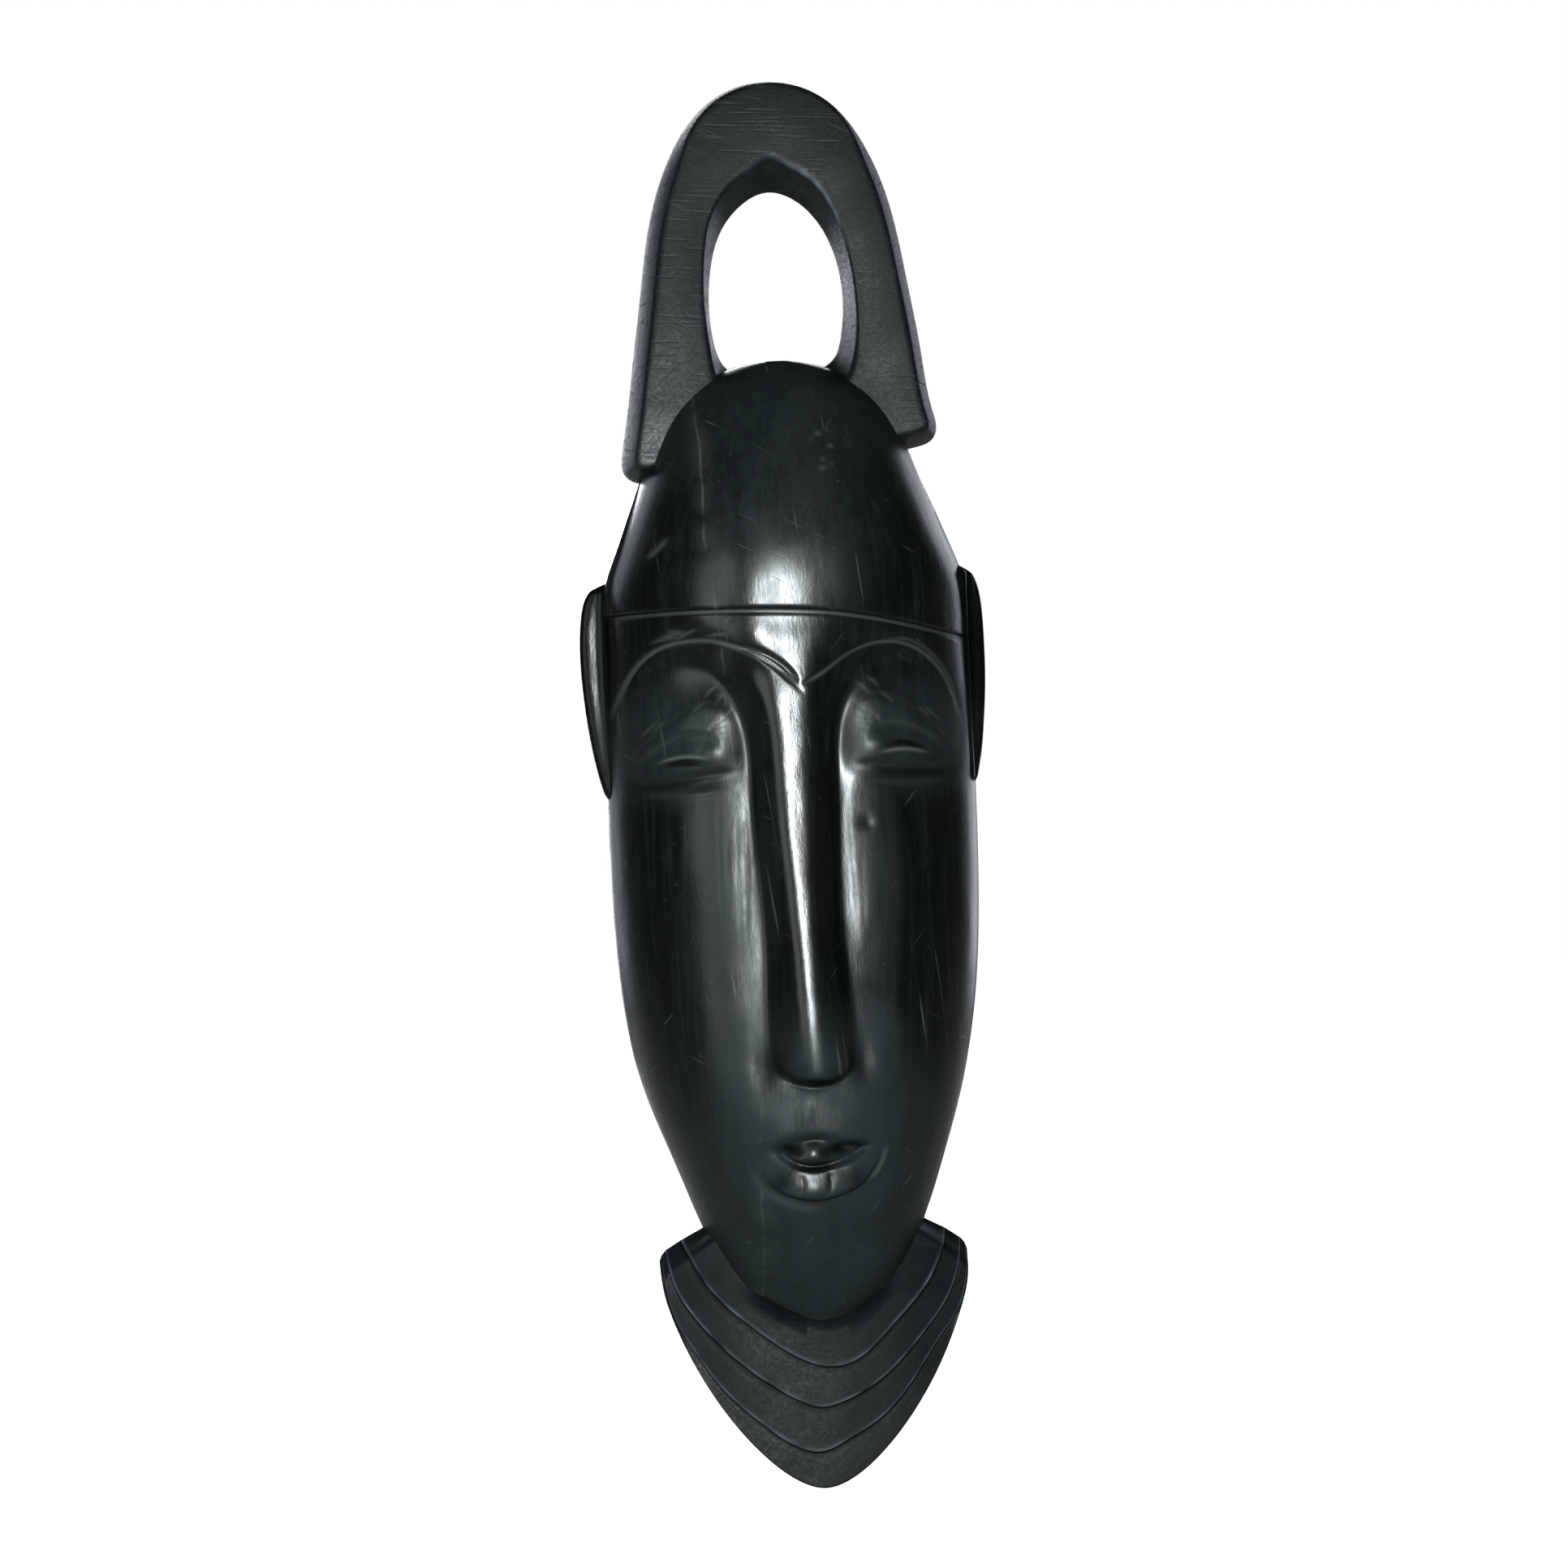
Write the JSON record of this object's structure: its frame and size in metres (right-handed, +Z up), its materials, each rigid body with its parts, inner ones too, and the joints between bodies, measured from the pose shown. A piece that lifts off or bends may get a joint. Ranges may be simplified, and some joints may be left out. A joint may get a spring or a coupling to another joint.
{
  "type": "carved wall mask",
  "caption": "Long narrow dark wooden wall mask with an arched open crest, closed eyes, a long nose ridge and a stepped collar, hollow at the back.",
  "frame": {"origin": "on the wall plane at the height where the screw eye's ring bears on its hook, in the mask's middle plane", "axes": "+Z up along the mask, +Y into the wall, so the carved front looks along -Y; +X to the viewer's right"},
  "size_m": [0.1151, 0.0649, 0.4],
  "materials": {
    "carved_wood": "polished dark hardwood",
    "filed_wood": "filed, matter dark hardwood",
    "steel_eye": "zinc plated"
  },
  "bodies": {
    "root": {"crest_loop": "filed_wood", "skull_cap": "carved_wood", "face": "carved_wood", "left_ear": "carved_wood", "right_ear": "carved_wood", "collar": "filed_wood", "screw_eye": "steel_eye"}
  },
  "joints": []
}
